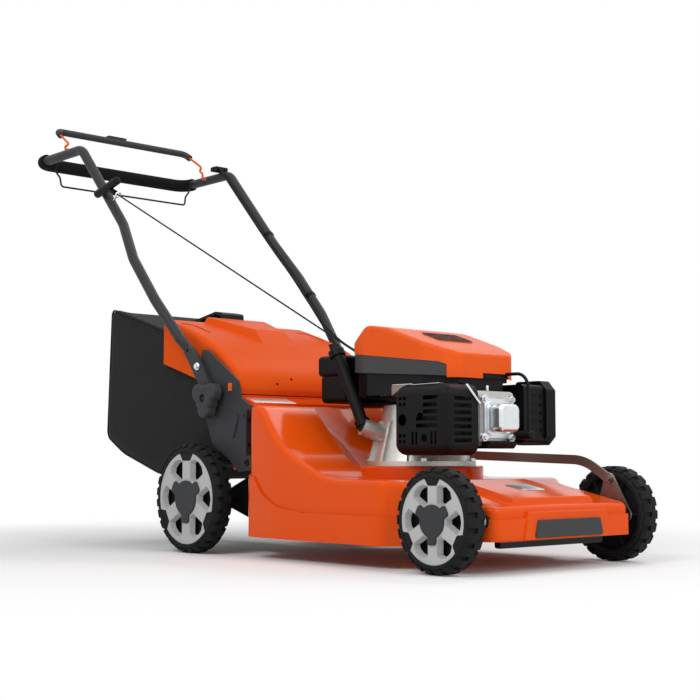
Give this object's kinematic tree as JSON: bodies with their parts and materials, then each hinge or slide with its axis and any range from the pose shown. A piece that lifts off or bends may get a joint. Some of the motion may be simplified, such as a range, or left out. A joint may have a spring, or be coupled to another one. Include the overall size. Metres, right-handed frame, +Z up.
{
  "type": "push lawn mower",
  "caption": "Walk-behind petrol lawn mower with pressed deck, folding tube handle, bails, height link, rear hood and fabric grass bag.",
  "frame": {"origin": "on the ground under the middle of the overall length and width", "axes": "+X forward from handle to front wheels, +Y to the left of the person mowing, +Z up"},
  "size_m": [1.6959, 0.577, 1.1405],
  "materials": {
    "aluminium": "cast",
    "black_fabric": "matte",
    "black_plastic": "satin",
    "black_steel": "satin",
    "dark_bracket": "satin",
    "foam": "matte",
    "grey_plastic": "satin",
    "grey_tube": "satin",
    "iron": "machined",
    "orange_plastic": "gloss",
    "orange_steel": "gloss",
    "orange_wire": "satin",
    "rope": "braided",
    "rubber": "matte",
    "steel": "plated",
    "trim_grey": "satin",
    "tyre": "matte"
  },
  "bodies": {
    "chassis": {"air_filter_box": "black_plastic", "air_filter_lid": "black_plastic", "axle_bearings": "black_plastic", "bumper_trim": "grey_plastic", "carburettor": "aluminium", "cowl_band": "grey_plastic", "crankcase": "aluminium", "cylinder": "aluminium", "deck_shell": "orange_steel", "drive_belt": "rubber", "engine_cowl": "orange_plastic", "fasteners": "steel", "fuel_tank": "black_plastic", "handle_bracket_left": "dark_bracket", "handle_bracket_right": "dark_bracket", "height_gate": "steel", "hood_rod": "steel", "muffler": "black_steel", "muffler_guard": "black_steel", "oil_filler_tube": "black_plastic", "spark_plug": "rubber", "valve_cover": "steel"},
    "rotor": {"crankshaft": "steel", "flywheel": "aluminium", "blade_adapter": "aluminium", "blade": "steel", "blade_bolt": "steel"},
    "front_axle": {"front_axle": "steel"},
    "rear_axle": {"rear_axle": "steel"},
    "gearbox": {"gearbox": "iron"},
    "height_link": {"height_link": "steel"},
    "hood": {"rear_hood": "orange_plastic"},
    "bag": {"bag_fabric": "black_fabric", "bag_frame": "black_steel"},
    "handle": {"handle_tube": "grey_tube", "handle_grip": "foam", "handle_hardware": "steel", "cable_clips": "black_plastic", "control_cables": "rubber", "starter_rope": "rope"},
    "brake_bail": {"brake_bail": "orange_wire", "bail_sleeve": "grey_plastic"},
    "drive_bail": {"drive_bail": "black_steel"},
    "starter_grip": {"starter_grip": "grey_plastic"},
    "knob_right": {"handle_knob_right": "grey_plastic"},
    "knob_left": {"handle_knob_left": "grey_plastic"},
    "dipstick": {"oil_dipstick": "black_plastic"},
    "fuel_cap": {"fuel_cap": "black_plastic"},
    "front_left_wheel": {"wheel_front_left": "tyre", "wheel_trim_front_left": "trim_grey", "hub_cap_front_left": "grey_plastic"},
    "front_right_wheel": {"wheel_front_right": "tyre", "wheel_trim_front_right": "trim_grey", "hub_cap_front_right": "grey_plastic"},
    "rear_left_wheel": {"wheel_rear_left": "tyre", "wheel_trim_rear_left": "trim_grey", "hub_cap_rear_left": "grey_plastic"},
    "rear_right_wheel": {"wheel_rear_right": "tyre", "wheel_trim_rear_right": "trim_grey", "hub_cap_rear_right": "grey_plastic"}
  },
  "joints": [
    {"name": "rotor_spin", "type": "hinge", "parent": "chassis", "child": "rotor", "pos_m": [0.429, 0, 0.2], "axis": [0, 0, 1], "continuous": true},
    {"name": "height_adjust", "type": "hinge", "parent": "chassis", "child": "rear_axle", "pos_m": [0.016, 0, 0.125], "axis": [0, 1, 0], "range_deg": [-20, 28], "deforming": ["drive_belt"]},
    {"name": "front_axle_turn", "type": "hinge", "parent": "chassis", "child": "front_axle", "pos_m": [0.808, 0, 0.1], "axis": [0, 1, 0], "range_deg": [-20, 28]},
    {"name": "link_turn", "type": "hinge", "parent": "rear_axle", "child": "height_link", "pos_m": [-0.023, 0.2163, 0.2], "axis": [0, 1, 0], "range_deg": [-28, 20]},
    {"name": "gearbox_turn", "type": "hinge", "parent": "rear_axle", "child": "gearbox", "pos_m": [-0.044, 0, 0.125], "axis": [0, 1, 0], "range_deg": [-28, 20]},
    {"name": "front_left_roll", "type": "hinge", "parent": "front_axle", "child": "front_left_wheel", "pos_m": [0.748, 0.263, 0.1], "axis": [0, 1, 0], "continuous": true},
    {"name": "front_right_roll", "type": "hinge", "parent": "front_axle", "child": "front_right_wheel", "pos_m": [0.748, -0.263, 0.1], "axis": [0, 1, 0], "continuous": true},
    {"name": "rear_left_roll", "type": "hinge", "parent": "rear_axle", "child": "rear_left_wheel", "pos_m": [-0.044, 0.263, 0.125], "axis": [0, 1, 0], "continuous": true},
    {"name": "rear_right_roll", "type": "hinge", "parent": "rear_axle", "child": "rear_right_wheel", "pos_m": [-0.044, -0.263, 0.125], "axis": [0, 1, 0], "continuous": true},
    {"name": "hood_swing", "type": "hinge", "parent": "chassis", "child": "hood", "pos_m": [0.056, 0, 0.378], "axis": [0, 1, 0], "range_deg": [0, 33]},
    {"name": "bag_off", "type": "slide", "parent": "chassis", "child": "bag", "axis": [-1, 0, 0], "range_m": [0, 0.5]},
    {"name": "handle_fold", "type": "hinge", "parent": "chassis", "child": "handle", "pos_m": [-0.005, 0, 0.353], "axis": [0, 1, 0], "range_deg": [0, 128], "deforming": ["control_cables", "starter_rope"]},
    {"name": "brake_squeeze", "type": "hinge", "parent": "handle", "child": "brake_bail", "pos_m": [-0.7, 0, 1.038], "axis": [0, 1, 0], "range_deg": [-31, 0], "stiffness_Nm_per_rad": 2, "springref_deg": 11.46},
    {"name": "drive_squeeze", "type": "hinge", "parent": "handle", "child": "drive_bail", "pos_m": [-0.768, 0, 1.038], "axis": [0, 1, 0], "range_deg": [0, 60], "stiffness_Nm_per_rad": 1, "springref_deg": -11.46},
    {"name": "starter_pull", "type": "slide", "parent": "handle", "child": "starter_grip", "axis": [-0.8325, -0.2123, 0.5118], "range_m": [0, 0.45]},
    {"name": "knob_right_turn", "type": "hinge", "parent": "handle", "child": "knob_right", "pos_m": [-0.005, -0.256, 0.353], "axis": [0, 1, 0], "continuous": true},
    {"name": "knob_left_turn", "type": "hinge", "parent": "handle", "child": "knob_left", "pos_m": [-0.005, 0.256, 0.353], "axis": [0, 1, 0], "continuous": true},
    {"name": "dipstick_draw", "type": "slide", "parent": "chassis", "child": "dipstick", "axis": [-0.4236, -0.0621, 0.9037], "range_m": [0, 0.16]},
    {"name": "fuel_cap_turn", "type": "hinge", "parent": "chassis", "child": "fuel_cap", "pos_m": [0.26, 0.062, 0.455], "axis": [0, 0, 1], "continuous": true}
  ],
  "couplings": [
    {"joint": "front_axle_turn", "follows": "height_adjust", "ratio": 1},
    {"joint": "link_turn", "follows": "height_adjust", "ratio": -1},
    {"joint": "gearbox_turn", "follows": "height_adjust", "ratio": -1}
  ]
}
